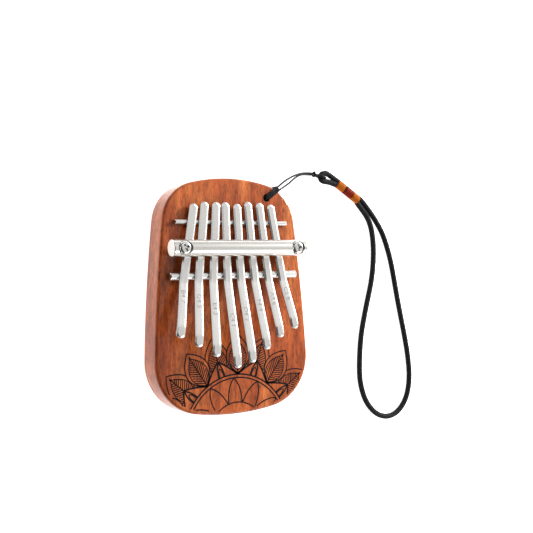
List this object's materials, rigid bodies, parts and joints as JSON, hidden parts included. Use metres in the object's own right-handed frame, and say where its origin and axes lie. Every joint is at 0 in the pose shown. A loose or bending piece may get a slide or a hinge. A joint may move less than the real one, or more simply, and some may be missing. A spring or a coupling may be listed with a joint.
{
  "type": "pocket thumb piano",
  "caption": "Pocket thumb piano: rounded wooden block with fanned steel tines under a screwed pressure bar, an engraved face and a black cord wrist lanyard.",
  "frame": {"origin": "on the back face, under the middle of the wooden body", "axes": "+X to the player's right, +Y towards the lanyard hole, +Z out of the playing face; the instrument lies on its back"},
  "size_m": [0.1439, 0.1202, 0.0251],
  "materials": {
    "lacquered_wood": "glossy lacquered reddish-brown hardwood",
    "polished_steel_rod": "polished steel rod",
    "nickel_bar": "polished nickel plate",
    "nickel_screw": "nickel-plated pan head screw",
    "spring_steel": "satin tempered spring steel with bright bevels",
    "black_string": "waxed twisted string",
    "black_braid": "fine braided cord",
    "orange_thread": "close-wound glossy thread",
    "black_thread": "close-wound thread",
    "maroon_thread": "close-wound glossy thread"
  },
  "bodies": {
    "instrument": {"wood_body": "lacquered_wood", "back_rod": "polished_steel_rod", "bridge_rod": "polished_steel_rod", "pressure_bar": "nickel_bar", "screw_left": "nickel_screw", "screw_right": "nickel_screw", "hitch": "black_string", "string_upper": "black_string", "string_lower": "black_string", "string_knot": "black_string", "string_bight": "black_string", "eyelet_cord": "black_braid", "wrist_cord": "black_braid", "whipping_orange_upper": "orange_thread", "whipping_black": "black_thread", "whipping_maroon": "maroon_thread", "whipping_orange_lower": "orange_thread"},
    "tine_1": {"tine_1_tail": "spring_steel"},
    "tine_1_free": {"tine_1_reed": "spring_steel"},
    "tine_2": {"tine_2_tail": "spring_steel"},
    "tine_2_free": {"tine_2_reed": "spring_steel"},
    "tine_3": {"tine_3_tail": "spring_steel"},
    "tine_3_free": {"tine_3_reed": "spring_steel"},
    "tine_4": {"tine_4_tail": "spring_steel"},
    "tine_4_free": {"tine_4_reed": "spring_steel"},
    "tine_5": {"tine_5_tail": "spring_steel"},
    "tine_5_free": {"tine_5_reed": "spring_steel"},
    "tine_6": {"tine_6_tail": "spring_steel"},
    "tine_6_free": {"tine_6_reed": "spring_steel"},
    "tine_7": {"tine_7_tail": "spring_steel"},
    "tine_7_free": {"tine_7_reed": "spring_steel"},
    "tine_8": {"tine_8_tail": "spring_steel"},
    "tine_8_free": {"tine_8_reed": "spring_steel"}
  },
  "joints": [
    {"name": "tine_1_tuning", "type": "slide", "parent": "instrument", "child": "tine_1", "axis": [-0.2074, -0.9759, 0.0671], "range_m": [-0.0015, 0.0015]},
    {"name": "tine_1_flex", "type": "hinge", "parent": "tine_1", "child": "tine_1_free", "pos_m": [-0.02512, 0.00703, 0.0159], "axis": [-0.9781, 0.2079, 0], "range_deg": [-4, 3], "stiffness_Nm_per_rad": 0.3},
    {"name": "tine_2_tuning", "type": "slide", "parent": "instrument", "child": "tine_2", "axis": [-0.1492, -0.9865, 0.0671], "range_m": [-0.0015, 0.0015]},
    {"name": "tine_2_flex", "type": "hinge", "parent": "tine_2", "child": "tine_2_free", "pos_m": [-0.01834, 0.00702, 0.0159], "axis": [-0.9888, 0.1495, 0], "range_deg": [-4, 3], "stiffness_Nm_per_rad": 0.3},
    {"name": "tine_3_tuning", "type": "slide", "parent": "instrument", "child": "tine_3", "axis": [-0.1078, -0.9919, 0.0671], "range_m": [-0.0015, 0.0015]},
    {"name": "tine_3_flex", "type": "hinge", "parent": "tine_3", "child": "tine_3_free", "pos_m": [-0.01159, 0.00701, 0.0159], "axis": [-0.9942, 0.108, 0], "range_deg": [-4, 3], "stiffness_Nm_per_rad": 0.3},
    {"name": "tine_4_tuning", "type": "slide", "parent": "instrument", "child": "tine_4", "axis": [-0.0331, -0.9972, 0.0671], "range_m": [-0.0015, 0.0015]},
    {"name": "tine_4_flex", "type": "hinge", "parent": "tine_4", "child": "tine_4_free", "pos_m": [-0.00483, 0.007, 0.0159], "axis": [-0.9995, 0.0332, 0], "range_deg": [-4, 3], "stiffness_Nm_per_rad": 0.3},
    {"name": "tine_5_tuning", "type": "slide", "parent": "instrument", "child": "tine_5", "axis": [-0.007, -0.9977, 0.0671], "range_m": [-0.0015, 0.0015]},
    {"name": "tine_5_flex", "type": "hinge", "parent": "tine_5", "child": "tine_5_free", "pos_m": [0.00161, 0.007, 0.0159], "axis": [-1, 0.007, 0], "range_deg": [-4, 3], "stiffness_Nm_per_rad": 0.3},
    {"name": "tine_6_tuning", "type": "slide", "parent": "instrument", "child": "tine_6", "axis": [0.0348, -0.9971, 0.0671], "range_m": [-0.0015, 0.0015]},
    {"name": "tine_6_flex", "type": "hinge", "parent": "tine_6", "child": "tine_6_free", "pos_m": [0.00835, 0.007, 0.0159], "axis": [-0.9994, -0.0349, 0], "range_deg": [-4, 3], "stiffness_Nm_per_rad": 0.3},
    {"name": "tine_7_tuning", "type": "slide", "parent": "instrument", "child": "tine_7", "axis": [0.0713, -0.9952, 0.0671], "range_m": [-0.0015, 0.0015]},
    {"name": "tine_7_flex", "type": "hinge", "parent": "tine_7", "child": "tine_7_free", "pos_m": [0.01522, 0.007, 0.0159], "axis": [-0.9974, -0.0715, 0], "range_deg": [-4, 3], "stiffness_Nm_per_rad": 0.3},
    {"name": "tine_8_tuning", "type": "slide", "parent": "instrument", "child": "tine_8", "axis": [0.1233, -0.9901, 0.0671], "range_m": [-0.0015, 0.0015]},
    {"name": "tine_8_flex", "type": "hinge", "parent": "tine_8", "child": "tine_8_free", "pos_m": [0.0224, 0.00701, 0.0159], "axis": [-0.9923, -0.1236, 0], "range_deg": [-4, 3], "stiffness_Nm_per_rad": 0.3}
  ]
}
